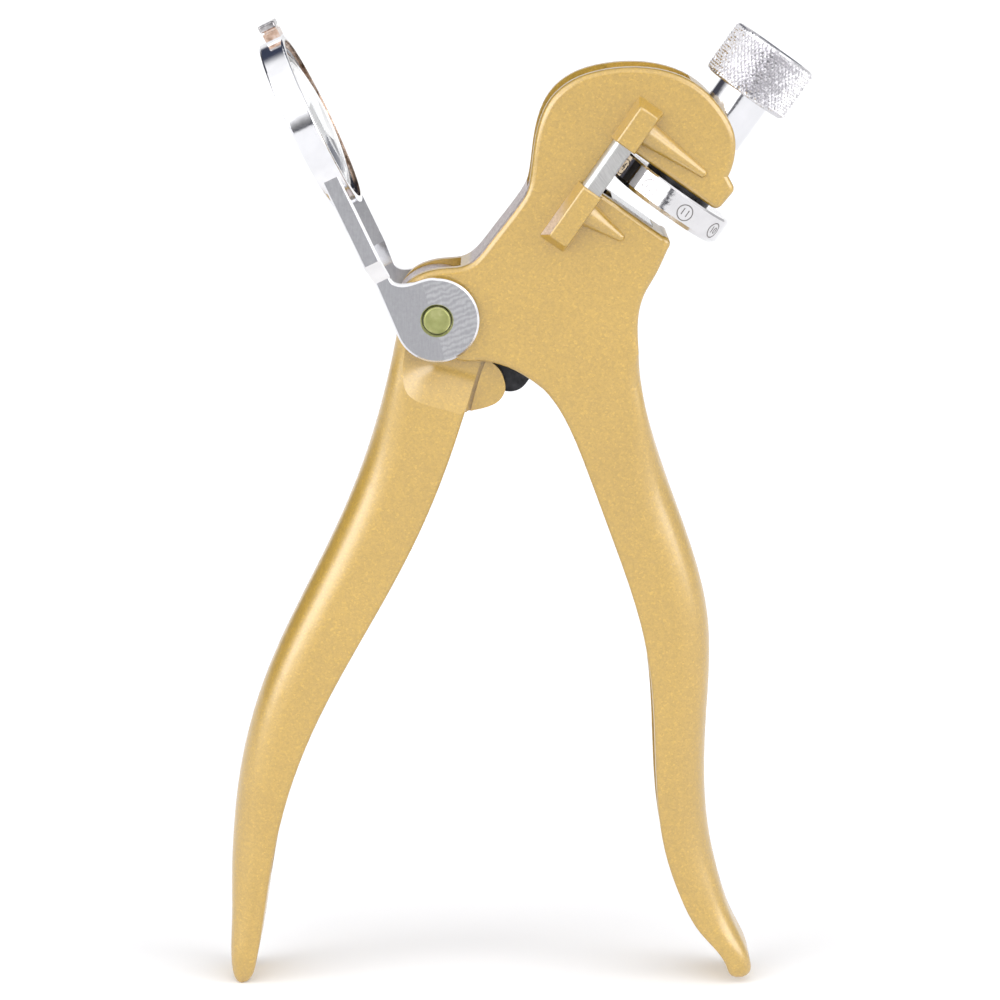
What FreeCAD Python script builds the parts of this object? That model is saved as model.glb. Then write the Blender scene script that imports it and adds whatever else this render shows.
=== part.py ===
import FreeCAD, Part
import math
import os

os.makedirs("parts", exist_ok=True)

# Pistol-grip saw set (saw-tooth setting pliers) with a swing-up magnifier.
# Standing upright on the handle tips: X across the handles, Y through the
# thickness, Z up.  All sizes in millimetres.

# ---------------------------------------------------------------- driving sizes
PIVOT_X, PIVOT_Z = -11.14, 124.70    # main pivot, in the drawing frame
AXIS_TILT = 35.0                     # plunger axis, degrees from vertical towards +X
ORIGIN_X, ORIGIN_Z = 2.615, -1.22    # drawing-frame point that becomes the part's origin

CHEEK_Y = 7.8                        # half thickness over the two cheeks
CHANNEL_Y = 4.95                     # half width of the space between the cheeks
GRIP_CHANNEL_Y = 4.6                 # half width of the channel in each grip
GRIP_WALL = 3.0                      # back wall of each U-shaped grip
GRIP_R = 6.4                         # outer corner radius of the grips

PIN_R = 2.5
PIN_HALF = 9.75
RUN_FIT = 0.05                       # radial clearance of the turning fits

HUB_R = 8.0                          # lever hub between the cheeks
HUB_Y = 4.6
LUG_Y = 4.4

JAW_U = 34.9                         # lower jaw face, along the plunger axis from the pivot
UPPER_U = 44.0                       # upper jaw face
THROAT_W = 9.9                       # closed end of the saw throat

ANVIL_W = 22.05                      # anvil and knob axis
ANVIL_R, ANVIL_T = 11.2, 5.0
ANVIL_U = 38.3                       # working face
STUD_R = 3.0
SLEEVE_R = 5.0
SLEEVE_U0, SLEEVE_U1 = 54.3, 63.05
KNOB_R, KNOB_L = 8.3, 9.9

TAIL_W, TAIL_U, TAIL_R = 16.74, -1.34, 3.5   # rounded end of the push blade
TAIL_Y = 2.0
SQUEEZE = 13.0                       # lever travel, degrees
CONTACT_GAP = 0.03

BLADE_W0, BLADE_W1 = 11.30, 13.10    # setting punch blade
CLAMP_W0, CLAMP_W1 = 13.16, 22.20    # clamping plunger beside it
PUNCH_TOP, CLAMP_TOP = 34.3, 35.15
FOOT_U0, FOOT_U1 = 9.5, 12.5
CLAMP_U0 = 25.6
SEAT_U0, SEAT_U1 = 22.8, 24.0
SPRING_W = 17.70

STOP_W0, STOP_W1 = 7.15, 10.85       # stop bars across the throat end
STOP_T = 2.5

LOUPE_TILT = 25.4                    # ring plane, degrees from vertical towards -X
RING_X, RING_Z = -33.46, 158.42
RING_R, RING_BORE, RING_T = 16.2, 15.1, 4.6
EAR_R = 7.5
EAR_Y0, EAR_Y1 = 8.2, 10.0
ARM_Y0, ARM_Y1 = 11.3, 13.3          # the arms stand wider than the ears, to straddle the head
ARM_X = 1.55                         # half width of an arm
ARM_END, EAR_TOP = -25.65, -29.5     # joggle between arm and ear, in ring coordinates


def V(x, y, z):
    return FreeCAD.Vector(x, y, z)


AXIS = FreeCAD.Placement(V(PIVOT_X, 0, PIVOT_Z), FreeCAD.Rotation(V(0, 1, 0), AXIS_TILT))
LOUPE = FreeCAD.Placement(V(RING_X, 0, RING_Z), FreeCAD.Rotation(V(0, 1, 0), -LOUPE_TILT))
SHIFT = V(-ORIGIN_X, 0, -ORIGIN_Z)


def on_axis(shape):
    """Moves a shape from (w, y, u) coordinates about the plunger axis into the drawing frame."""
    out = shape.copy()
    out.Placement = AXIS.multiply(out.Placement)
    return out


def on_loupe(shape):
    """Moves a shape from ring coordinates (ring axis along X, up the arm along Z)."""
    out = shape.copy()
    out.Placement = LOUPE.multiply(out.Placement)
    return out


def wu(w, u):
    p = AXIS.multVec(V(w, 0, u))
    return (p.x, p.z)


def box(x0, x1, y0, y1, z0, z1):
    return Part.makeBox(x1 - x0, y1 - y0, z1 - z0, V(x0, y0, z0))


def slab(edges, y0, y1):
    """Prism of a closed outline in the XZ plane between two Y values."""
    face = Part.Face(Part.Wire(Part.__sortEdges__(edges)))
    prism = face.extrude(V(0, y1 - y0, 0))
    prism.translate(V(0, y0, 0))
    return prism


def seg(a, b):
    return Part.makeLine(V(a[0], 0, a[1]), V(b[0], 0, b[1]))


def poly(points, y0, y1):
    pts = [V(x, 0, z) for x, z in points]
    pts.append(pts[0])
    face = Part.Face(Part.makePolygon(pts))
    prism = face.extrude(V(0, y1 - y0, 0))
    prism.translate(V(0, y0, 0))
    return prism


def curve(points):
    c = Part.BSplineCurve()
    c.interpolate([V(x, 0, z) for x, z in points])
    return c


def smooth(points, tol=0.22):
    """A fair curve that stays within tol of the points."""
    c = Part.BSplineCurve()
    c.approximate(Points=[V(x, 0, z) for x, z in points], DegMin=3, DegMax=5, Tolerance=tol)
    return c


def spline(points):
    return curve(points).toShape()


def disc_y(x, z, r, y0, y1):
    return Part.makeCylinder(r, y1 - y0, V(x, y0, z), V(0, 1, 0))


def try_fillet(shape, r, edges):
    """Rounds the edges together, or one by one where the chain can't be rounded at once."""
    try:
        out = shape.makeFillet(r, edges)
        if out.isValid() and out.Volume > 0:
            return out
    except Exception:
        pass
    print("fillet", r, "left out on", len(edges), "edges")
    return shape


def fuse_all(shapes):
    out = shapes[0].multiFuse(shapes[1:])
    return out.removeSplitter()


def one_solid(shape, name):
    """Returns the largest solid of a shape, and reports any other."""
    solids = sorted(shape.Solids, key=lambda s: -s.Volume)
    if len(solids) != 1:
        print(name, "solids", [round(s.Volume, 3) for s in solids])
    return solids[0]


def section(outer, inner, h, R, r):
    """Cross-section of a grip: rounded on the outer side, nearly square on the inner side."""
    ox, oz = outer
    ix, iz = inner
    b = math.hypot(ox - ix, oz - iz)
    dx, dz = (ox - ix) / b, (oz - iz) / b

    def P(s, y):
        return V(ix + dx * s, y, iz + dz * s)

    k = math.sqrt(0.5)
    R = min(R, b - r - 0.4, h - 0.3)
    e = [
        Part.makeLine(P(0, h - r), P(0, -h + r)),
        Part.Arc(P(0, -h + r), P(r - r * k, -h + r - r * k), P(r, -h)).toShape(),
        Part.makeLine(P(r, -h), P(b - R, -h)),
        Part.Arc(P(b - R, -h), P(b - R + R * k, -h + R - R * k), P(b, -h + R)).toShape(),
        Part.makeLine(P(b, -h + R), P(b, h - R)),
        Part.Arc(P(b, h - R), P(b - R + R * k, h - R + R * k), P(b - R, h)).toShape(),
        Part.makeLine(P(b - R, h), P(r, h)),
        Part.Arc(P(r, h), P(r - r * k, h - r + r * k), P(0, h - r)).toShape(),
    ]
    return Part.Wire(e)


def sample(c, start, end, n):
    """n points at equal arc length on a curve between the points nearest to start and end."""
    p0 = c.parameter(V(start[0], 0, start[1]))
    p1 = c.parameter(V(end[0], 0, end[1]))
    edge = Part.Edge(c, min(p0, p1), max(p0, p1))
    pts = edge.discretize(Number=n)
    if p0 > p1:
        pts.reverse()
    return [(p.x, p.z) for p in pts]


def offset_points(points, d):
    """Shifts a run of points sideways by d (left of the direction of travel)."""
    out = []
    for i, (x, z) in enumerate(points):
        a = points[max(i - 1, 0)]
        b = points[min(i + 1, len(points) - 1)]
        tx, tz = b[0] - a[0], b[1] - a[1]
        m = math.hypot(tx, tz)
        out.append((x - tz / m * d, z + tx / m * d))
    return out


# ---------------------------------------------------------------- body casting
OUT_R = [(24.66, 125.5), (24.51, 121.88), (24.72, 118.25), (25.35, 112.2), (26.65, 105.46), (28.89, 98.1),
         (31.69, 90.7), (34.40, 83.3), (36.55, 75.77), (37.92, 68.24), (38.46, 60.67), (38.38, 54.0),
         (38.0, 47.0), (37.72, 39.62), (38.34, 29.94), (39.94, 22.15), (42.11, 14.31), (44.9, 6.9), (46.8, 2.4)]
IN_R = [(1.78, 115.6), (5.34, 113.55), (7.66, 111.87), (9.55, 109.9), (13.23, 102.78), (16.13, 95.46),
        (20.34, 84.4), (24.05, 73.25), (26.11, 65.76), (27.25, 60.0), (27.9, 54.0), (28.35, 46.5),
        (28.62, 39.2), (29.25, 31.54), (30.76, 23.81), (33.44, 16.04), (37.3, 8.6), (40.4, 4.5), (42.2, 2.2)]
GRIP_TOP_OUT, GRIP_TOP_IN = (24.72, 118.25), (7.66, 111.87)

j0 = wu(24.3, JAW_U)
j1 = (29.72, 137.15)


def rounded(a, b, c, r):
    """Arc that rounds the corner b of the run a-b-c, with the points where it starts and ends."""
    ua, uc = [(p[0] - b[0], p[1] - b[1]) for p in (a, c)]
    la, lc = math.hypot(*ua), math.hypot(*uc)
    ua, uc = (ua[0] / la, ua[1] / la), (uc[0] / lc, uc[1] / lc)
    half = math.acos(ua[0] * uc[0] + ua[1] * uc[1]) / 2
    t = r / math.tan(half)
    p, q = (b[0] + ua[0] * t, b[1] + ua[1] * t), (b[0] + uc[0] * t, b[1] + uc[1] * t)
    bis = (ua[0] + uc[0], ua[1] + uc[1])
    lb = math.hypot(*bis)
    d = r / math.sin(half) - r
    m = (b[0] + bis[0] / lb * d, b[1] + bis[1] / lb * d)
    return p, q, Part.Arc(V(p[0], 0, p[1]), V(m[0], 0, m[1]), V(q[0], 0, q[1])).toShape()


NOSE_A, NOSE_B, NOSE_C, NOSE_D = (40.15, 149.9), wu(29.9, 48.9), wu(29.5, UPPER_U), wu(THROAT_W, UPPER_U)
nose1 = rounded(NOSE_A, NOSE_B, NOSE_C, 1.3)
nose2 = rounded(NOSE_B, NOSE_C, NOSE_D, 1.3)
head_edges = [
    Part.Arc(V(j0[0], 0, j0[1]), V(29.98, 0, 138.42), V(j1[0], 0, j1[1])).toShape(),
    spline([j1, (29.18, 135.94), (27.60, 132.5), (25.69, 129.11), (24.66, 125.5), (24.51, 121.88), GRIP_TOP_OUT]),
    seg(GRIP_TOP_OUT, GRIP_TOP_IN),
    spline([GRIP_TOP_IN, (5.34, 113.62), (2.2, 115.45), (-0.71, 116.5), (-3.38, 116.95), (-6.22, 116.9),
            (-9.3, 117.55), (-12.2, 117.47), (-15.27, 118.68), (-17.57, 121.24), (-18.4, 124.5), (-18.0, 128.2),
            (-16.0, 131.4), (-12.6, 133.1), (-9.3, 133.6), (-6.4, 134.0), (-4.3, 135.4), (-1.76, 138.5),
            (0.88, 141.9), (3.3, 145.1), (4.75, 147.6), (5.35, 150.2), (5.85, 154.5), (6.8, 159.2),
            (8.8, 163.45), (12.3, 166.55), (17.6, 168.42), (23.3, 168.97), (29.1, 168.3), (34.75, 165.8),
            (38.9, 161.6), (41.1, 157.3), (41.25, 153.6), (40.15, 149.9)]),
    seg(NOSE_A, nose1[0]), nose1[2],
    seg(nose1[1], nose2[0]), nose2[2],
    seg(nose2[1], NOSE_D),
    seg(wu(THROAT_W, UPPER_U), wu(THROAT_W, JAW_U)),
    seg(wu(THROAT_W, JAW_U), j0),
]
head = slab(head_edges, -CHEEK_Y, CHEEK_Y)
rim = []
for e in head.Edges:
    b = e.BoundBox
    if b.YMax - b.YMin > 0.01 or abs(abs(b.YMax) - CHEEK_Y) > 0.01:
        continue
    m = e.valueAt((e.FirstParameter + e.LastParameter) / 2)
    g = ((GRIP_TOP_OUT[0] + GRIP_TOP_IN[0]) / 2, (GRIP_TOP_OUT[1] + GRIP_TOP_IN[1]) / 2)
    if math.hypot(m.x - g[0], m.z - g[1]) < 1.0:
        continue
    rim.append(e)
head = try_fillet(head, 1.0, rim)

# Grip: a smooth run of cross-sections down to the rounded tip.
N = 15
outer = sample(smooth(OUT_R), GRIP_TOP_OUT, (46.8, 2.4), N)
inner = sample(smooth(IN_R), GRIP_TOP_IN, (42.2, 2.2), N)
outer[0], inner[0] = GRIP_TOP_OUT, GRIP_TOP_IN
wires = []
for i, (o, n) in enumerate(zip(outer, inner)):
    t = i / (N - 1)
    h = CHEEK_Y - 0.5 * min(1.0, t / 0.3) - 0.8 * max(0.0, (t - 0.7) / 0.3)
    R = 0.8 + (GRIP_R - 0.8) * min(1.0, t / 0.22)
    if t > 0.8:
        R = GRIP_R - (t - 0.8) / 0.2 * (GRIP_R - 2.4)
    if i == 0:
        # the grip starts on the head's own end face, so that the two share their edges
        ends = [f for f in head.Faces if all(
            abs((v.Point.x - GRIP_TOP_IN[0]) * (GRIP_TOP_OUT[1] - GRIP_TOP_IN[1])
                - (v.Point.z - GRIP_TOP_IN[1]) * (GRIP_TOP_OUT[0] - GRIP_TOP_IN[0])) < 0.02 for v in f.Vertexes)]
        wires.append(ends[0].OuterWire)
        print("end face edges", len(ends[0].OuterWire.Edges), "faces", len(ends))
        continue
    wires.append(section(o, n, h, R, 0.8))
wires.append(section((46.75, 0.95), (42.75, 0.75), 6.1, 1.9, 0.8))
wires.append(section((45.75, 0.05), (43.75, -0.05), 5.3, 0.8, 0.5))
grip = Part.makeLoft(wires, True, False)
if grip.Volume < 0:
    grip.reverse()
casting = head.fuse(grip)

# Space between the cheeks, open at the pivot end.
cavity = poly([(-7.0, 140.0), (-7.0, 132.5), (-5.0, 130.9), wu(2.4, SEAT_U1), wu(26.0, SEAT_U1),
               (21.5, 124.5), (21.3, 121.0), (21.6, 117.0), (22.3, 112.0), (15.0, 104.0), (6.0, 104.0),
               (-8.0, 113.0), (-24.0, 113.0), (-24.0, 140.0)], -CHANNEL_Y, CHANNEL_Y)
# Channel down the inner side of the grip, closed at its back and at the tip.
back = offset_points(outer, -GRIP_WALL)[1:12]
front = offset_points(inner, -3.0)[1:12]
ch = [spline(back), seg(back[-1], front[-1]), spline(front), seg(front[0], back[0])]
channel = slab(ch, -GRIP_CHANNEL_Y, GRIP_CHANNEL_Y)
# Viewing slot between the cheeks, from the back of the head to the throat.
view = on_axis(Part.Face(Part.makePolygon([V(*p) for p in [
    (-9, -CHANNEL_Y, 27.6), (0.6, -CHANNEL_Y, 28.2), (THROAT_W, -CHANNEL_Y, JAW_U), (12.3, -CHANNEL_Y, JAW_U),
    (12.3, -CHANNEL_Y, 46.6), (7.5, -CHANNEL_Y, 51.4), (-0.6, -CHANNEL_Y, 52.8), (-9, -CHANNEL_Y, 53.4),
    (-9, -CHANNEL_Y, 27.6)]])).extrude(V(0, 2 * CHANNEL_Y, 0)))
# Shallow recess in the closed part of the rim, between the cheek edges.
rim_pts = [(12.3, 166.55), (17.6, 168.42), (23.3, 168.97), (29.1, 168.3), (33.5, 166.55)]
rim_in = offset_points(rim_pts, -1.3)
recess = slab([spline(offset_points(rim_pts, 2.0)), seg(offset_points(rim_pts, 2.0)[-1], rim_in[-1]),
               spline(rim_in), seg(rim_in[0], offset_points(rim_pts, 2.0)[0])], -4.6, 4.6)
plunger_bore = on_axis(box(BLADE_W0 - 0.05, CLAMP_W1 + 0.05, -4.45, 4.45, SEAT_U1 - 1, JAW_U + 1))
stud_bore = on_axis(Part.makeCylinder(STUD_R + RUN_FIT, 14, V(ANVIL_W, 0, UPPER_U - 1)))
sleeve_bore = on_axis(Part.makeCylinder(SLEEVE_R + RUN_FIT, 20, V(ANVIL_W, 0, SLEEVE_U0)))
pin_bore = disc_y(PIVOT_X, PIVOT_Z, PIN_R, -12, 12)
casting = casting.cut(cavity).cut(channel).cut(view).cut(recess)
casting = casting.cut(plunger_bore).cut(stud_bore).cut(sleeve_bore).cut(pin_bore)


def boss(base, face, side, slot_u):
    """Drafted block: (w0, w1, u0, u1) at the cheek and at its own flat face; square where the bar enters at slot_u."""
    def rect(r, y):
        w0, w1, u0, u1 = r
        return Part.makePolygon([V(w0, y, u0), V(w1, y, u0), V(w1, y, u1), V(w0, y, u1), V(w0, y, u0)])
    b = Part.makeLoft([rect(base, side * (CHEEK_Y - 0.5)), rect(face, side * 11.0)], True, True)
    if b.Volume < 0:
        b.reverse()
    edges = [e for e in b.Edges if e.BoundBox.YMax - e.BoundBox.YMin > 1.0
             and abs(e.valueAt((e.FirstParameter + e.LastParameter) / 2).z - slot_u) > 1.0]
    b = try_fillet(b, 0.5, edges)
    edges = [e for e in b.Edges if abs(abs(e.BoundBox.YMax) - 11.0) < 1e-4 and e.BoundBox.YMax - e.BoundBox.YMin < 1e-4]
    return try_fillet(b, 0.4, edges)


def rib(w0, w1, u, r0, r1, side):
    y = side * CHEEK_Y
    cone = Part.makeCone(r0, r1, w1 - w0, V(w0, y, u), V(1, 0, 0))
    ball = Part.makeSphere(r1, V(w1, y, u))
    keep = box(w0 - 1, w1 + 3, min(y - side * 0.4, y + side * 4), max(y - side * 0.4, y + side * 4), u - 4, u + 4)
    return cone.fuse(ball).common(keep)


def stop_bar_raw(side, grow=0.0):
    y0, y1 = (-10.35 - grow, -CHEEK_Y - 0.05 + grow) if side < 0 else (CHEEK_Y + 0.05 - grow, 10.35 + grow)
    b = box(STOP_W0 - grow, STOP_W1 + grow, y0, y1, 28.5 - grow, 50.2 + grow)
    left = [e for e in b.Edges if abs(max(abs(e.BoundBox.YMin), abs(e.BoundBox.YMax)) - 10.35 - grow) < 1e-3
            and e.BoundBox.YMax - e.BoundBox.YMin < 1e-3 and e.BoundBox.ZMax - e.BoundBox.ZMin > 5
            and e.BoundBox.XMin < STOP_W0 + 0.1]
    return try_fillet(b, 1.3, left)


extra = []
for side in (-1, 1):
    up = boss((6.4, 11.9, UPPER_U, 52.9), (7.5, 11.3, UPPER_U, 51.4), side, UPPER_U)
    lo = boss((6.2, 11.6, 22.3, 34.4), (7.4, 11.1, 23.9, 34.4), side, 34.4)
    ribs = [rib(11.0, 23.4, 48.0, 2.3, 0.8, side), rib(11.0, 18.1, 30.5, 2.3, 0.8, side)]
    extra += [on_axis(s) for s in [up, lo] + ribs]
casting = casting.multiFuse(extra)
for side in (-1, 1):
    casting = casting.cut(on_axis(stop_bar_raw(side, 0.0)))
casting = one_solid(casting.removeSplitter(), "body_casting")

# ---------------------------------------------------------------- lever handle
OUT_L = [(-17.6, 126.0), (-18.5, 122.2), (-19.2, 117.6), (-20.35, 112.2), (-22.15, 105.46), (-24.55, 98.1),
         (-27.4, 90.7), (-30.69, 83.26), (-34.35, 75.77), (-38.2, 68.24), (-41.8, 60.67), (-44.63, 53.05),
         (-46.78, 45.39), (-48.25, 37.69), (-49.25, 29.94), (-49.82, 22.15), (-50.08, 15.3), (-50.1, 8.4),
         (-49.98, 1.6)]
IN_L = [(-3.0, 117.6), (-4.3, 114.2), (-5.3, 111.0), (-6.2, 107.5), (-7.95, 102.3), (-11.7, 92.1),
        (-15.0, 84.5), (-18.61, 76.9), (-22.75, 69.43), (-27.2, 61.92), (-31.4, 54.36), (-34.9, 46.77),
        (-37.7, 39.12), (-39.95, 31.44), (-41.8, 23.71), (-43.3, 15.93), (-44.65, 8.11), (-45.6, 2.2)]
outer = sample(smooth(OUT_L), (-18.5, 122.2), (-49.98, 1.6), N)
inner = sample(smooth(IN_L), (-3.0, 117.6), (-45.6, 2.2), N)
wires = []
for i, (o, n) in enumerate(zip(outer, inner)):
    t = i / (N - 1)
    h = 7.5 - 0.2 * min(1.0, t / 0.3) - 0.7 * max(0.0, (t - 0.7) / 0.3)
    R = 3.4 + (GRIP_R - 3.4) * min(1.0, t / 0.2)
    if t > 0.8:
        R = GRIP_R - (t - 0.8) / 0.2 * (GRIP_R - 2.2)
    wires.append(section(o, n, h, R, 0.8))
wires.append(section((-49.6, -0.2), (-46.1, 0.55), 6.0, 1.7, 0.8))
wires.append(section((-48.75, -1.22), (-47.0, -0.85), 5.2, 0.7, 0.5))
lever = Part.makeLoft(wires, True, False)
if lever.Volume < 0:
    lever.reverse()
# Shoulders: outside the hub width the lever stops short of the cheeks over the whole squeeze.
clear = poly([(-11.14, 116.3), (-8.1, 115.7), (-5.3, 115.0), (-2.8, 114.0), (4, 111), (4, 130), (-11.14, 130)],
             -12, 12).fuse(disc_y(PIVOT_X, PIVOT_Z, 7.6, -12, 12)).fuse(
    poly([(-22, 124), (-11, 124), (-11, 135), (-22, 135)], -12, 12))
for y0, y1 in ((-12, -HUB_Y), (HUB_Y, 12)):
    lever = lever.cut(clear.common(box(-30, 10, y0, y1, 100, 140)))


def scoop(side):
    """The face dips smoothly to the hub's width just below the cheek."""
    a, b = (-11.14, 116.4), (-2.8, 114.05)
    m = math.hypot(b[0] - a[0], b[1] - a[1])
    dx, dz = (b[0] - a[0]) / m, (b[1] - a[1]) / m
    run = [(0.0, 4.6), (1.3, 4.75), (2.8, 5.3), (4.6, 6.2), (6.6, 7.05), (8.6, 7.8)]

    def P(s, y):
        return V(a[0] + dz * s, side * y, a[1] - dx * s)

    c = Part.BSplineCurve()
    c.interpolate([P(*q) for q in run])
    edges = [c.toShape()]
    far = [P(*run[-1]), P(run[-1][0], 12), P(-0.6, 12), P(-0.6, 4.6), P(0, 4.6)]
    edges += [Part.makeLine(p, q) for p, q in zip(far, far[1:])]
    cut = Part.Face(Part.Wire(Part.__sortEdges__(edges))).extrude(V(dx * 16, 0, dz * 16))
    edges = [c.toShape()]
    far = [P(*run[-1]), P(run[-1][0], 12), P(0, 12), P(0, 4.6)]
    edges += [Part.makeLine(p, q) for p, q in zip(far, far[1:])]
    end = Part.Face(Part.Wire(Part.__sortEdges__(edges))).revolve(V(a[0], 0, a[1]), V(0, 1, 0), 180)
    return cut, end


for side in (-1, 1):
    for tool in scoop(side):
        lever = lever.cut(tool)
keep_low = disc_y(PIVOT_X, PIVOT_Z, HUB_R, -HUB_Y, HUB_Y)
top_cut = poly([(-11.14, PIVOT_Z + 0.001), (20, PIVOT_Z - 12), (20, 140), (-30, 140), (-30, PIVOT_Z)], -HUB_Y, HUB_Y)
lever = lever.cut(top_cut)
back = offset_points(outer, GRIP_WALL)[3:13]
front = offset_points(inner, 3.0)[3:13]
ch = [spline(back), seg(back[-1], front[-1]), spline(front), seg(front[0], back[0])]
lever = lever.cut(slab(ch, -GRIP_CHANNEL_Y, GRIP_CHANNEL_Y))
lug_run = [(-6.6, 107.02), (-3.27, 107.85), (-1.79, 108.3), (-0.54, 108.95), (0.5, 110.13), (0.97, 111.6),
           (0.75, 113.0), (0.13, 114.59), (-1.0, 115.86), (-2.6, 116.9)]
lug = slab([spline(lug_run), seg(lug_run[-1], (-6.5, 120.5)), seg((-6.5, 120.5), (-12.0, 118.0)),
            seg((-12.0, 118.0), (-11.0, 110.0)), seg((-11.0, 110.0), lug_run[0])], -LUG_Y, LUG_Y)
lever = lever.multiFuse([keep_low, lug])
# A shallow groove marks the lug off from the edge of the lever.
line = [(-3.1, 116.9), (-3.75, 115.2), (-4.5, 112.86), (-5.22, 110.31), (-6.1, 106.6)]
wide = offset_points(line, 0.62)
for y0, y1 in ((-LUG_Y - 0.01, -LUG_Y + 0.7), (LUG_Y - 0.7, LUG_Y + 0.01)):
    lever = lever.cut(slab([spline(line), seg(line[-1], wide[-1]), spline(wide), seg(wide[0], line[0])], y0, y1))
phi = math.radians(SQUEEZE / 2)
floor = (TAIL_U + TAIL_W * math.tan(phi)) * math.cos(phi) - TAIL_R - CONTACT_GAP
fl = lambda w: (floor - w * math.sin(phi)) / math.cos(phi)
slot = on_axis(Part.Face(Part.makePolygon([V(12.3, -2.2, fl(12.3)), V(24, -2.2, fl(24)), V(24, -2.2, 9),
                                           V(12.3, -2.2, 9), V(12.3, -2.2, fl(12.3))])).extrude(V(0, 4.4, 0)))
lever = lever.cut(slot).cut(disc_y(PIVOT_X, PIVOT_Z, PIN_R + RUN_FIT, -12, 12))
lever = one_solid(lever.removeSplitter(), "lever_handle")

# ---------------------------------------------------------------- pivot
pin = disc_y(PIVOT_X, PIVOT_Z, PIN_R, -PIN_HALF, PIN_HALF)
pin = try_fillet(pin, 0.5, [e for e in pin.Edges if abs(abs(e.BoundBox.YMax) - PIN_HALF) < 0.01
                             and e.BoundBox.YMax - e.BoundBox.YMin < 0.01])


def washer(r_in, r_out, y0, y1):
    return disc_y(PIVOT_X, PIVOT_Z, r_out, y0, y1).cut(disc_y(PIVOT_X, PIVOT_Z, r_in, y0 - 1, y1 + 1))


hub_washers = Part.makeCompound([washer(PIN_R + RUN_FIT, 6.0, -CHANNEL_Y + 0.02, -HUB_Y - 0.02),
                                 washer(PIN_R + RUN_FIT, 6.0, HUB_Y + 0.02, CHANNEL_Y - 0.02)])
ear_washers = Part.makeCompound([washer(PIN_R + RUN_FIT, 5.8, -EAR_Y0 + 0.02, -CHEEK_Y - 0.02),
                                 washer(PIN_R + RUN_FIT, 5.8, CHEEK_Y + 0.02, EAR_Y0 - 0.02)])

# ---------------------------------------------------------------- setting gear
tail = disc_y(0, 0, TAIL_R, -TAIL_Y, TAIL_Y)
tail.translate(V(TAIL_W, 0, TAIL_U))
punch = fuse_all([
    tail,
    box(TAIL_W - TAIL_R, TAIL_W + TAIL_R, -TAIL_Y, TAIL_Y, TAIL_U, FOOT_U0 + 1),
    box(BLADE_W0, CLAMP_W1, -4.4, 4.4, FOOT_U0, FOOT_U1),
    box(BLADE_W0, BLADE_W1, -3.5, 3.5, FOOT_U1 - 1, PUNCH_TOP),
])
punch = one_solid(on_axis(punch), "setting_punch")
clamp = box(CLAMP_W0, CLAMP_W1, -4.4, 4.4, CLAMP_U0, CLAMP_TOP)
clamp = clamp.makeChamfer(0.4, [e for e in clamp.Edges if all(abs(v.Point.z - CLAMP_TOP) < 1e-6 for v in e.Vertexes)
                                and e.BoundBox.XMin > CLAMP_W0 + 0.1])
clamp = one_solid(on_axis(clamp), "clamp_plunger")
seat = box(BLADE_W1 + 0.15, 24.4, -CHANNEL_Y + 0.03, CHANNEL_Y - 0.03, SEAT_U0, SEAT_U1).cut(
    Part.makeCylinder(3.1, 4, V(SPRING_W, 0, SEAT_U0 - 1)))
seat = one_solid(on_axis(seat), "spring_seat")


def coil_sleeve(r_mean, wire, u0, u1):
    """Compression spring as the plain sleeve its coils fill between two planes."""
    s = Part.makeCylinder(r_mean + wire / 2, u1 - u0).cut(
        Part.makeCylinder(r_mean - wire / 2, u1 - u0))
    s.translate(V(SPRING_W, 0, u0))
    return s


return_spring = on_axis(coil_sleeve(3.85, 0.8, FOOT_U1 + 0.05, SEAT_U0 - 0.05))
punch_spring = on_axis(coil_sleeve(2.35, 0.6, FOOT_U1 + 0.05, CLAMP_U0 - 0.05))


def stop_bar(side):
    b = stop_bar_raw(side)
    edges = [e for e in b.Edges if abs(abs(e.BoundBox.YMax) - 10.35) < 1e-3
             and e.BoundBox.YMax - e.BoundBox.YMin < 1e-3 and e.BoundBox.ZMax - e.BoundBox.ZMin > 5
             and e.BoundBox.XMin > STOP_W1 - 0.1]
    b = b.makeChamfer(0.3, edges)
    return one_solid(on_axis(b), "stop_bar")


bars = {"stop_bar_front": stop_bar(-1), "stop_bar_back": stop_bar(1)}

# ---------------------------------------------------------------- anvil and knob
disc = Part.makeCylinder(ANVIL_R, ANVIL_T, V(ANVIL_W, 0, ANVIL_U))
low = [e for e in disc.Edges if e.BoundBox.ZMax < ANVIL_U + 0.01]
high = [e for e in disc.Edges if e.BoundBox.ZMin > ANVIL_U + ANVIL_T - 0.01]
disc = disc.makeChamfer(0.7, low)
high = [e for e in disc.Edges if e.BoundBox.ZMin > ANVIL_U + ANVIL_T - 0.01]
disc = disc.makeChamfer(0.35, high)
disc = disc.cut(Part.makeCylinder(2.2, 12, V(ANVIL_W, 0, ANVIL_U - 2)))
disc = one_solid(on_axis(disc), "anvil_disc")
stud = Part.makeCylinder(2.2, ANVIL_T, V(ANVIL_W, 0, ANVIL_U)).fuse(
    Part.makeCylinder(STUD_R, 70.2 - ANVIL_U - ANVIL_T, V(ANVIL_W, 0, ANVIL_U + ANVIL_T)))
stud = one_solid(on_axis(stud), "anvil_stud")
shim = Part.makeCylinder(6.5, 0.64, V(ANVIL_W, 0, ANVIL_U + ANVIL_T + 0.03)).cut(
    Part.makeCylinder(STUD_R + RUN_FIT, 4, V(ANVIL_W, 0, ANVIL_U + ANVIL_T - 1)))
shim = one_solid(on_axis(shim), "anvil_washer")
sleeve = Part.makeCylinder(SLEEVE_R, SLEEVE_U1 - SLEEVE_U0 - 0.02, V(ANVIL_W, 0, SLEEVE_U0 + 0.01)).cut(
    Part.makeCylinder(STUD_R + RUN_FIT, 20, V(ANVIL_W, 0, SLEEVE_U0 - 1)))
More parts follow.
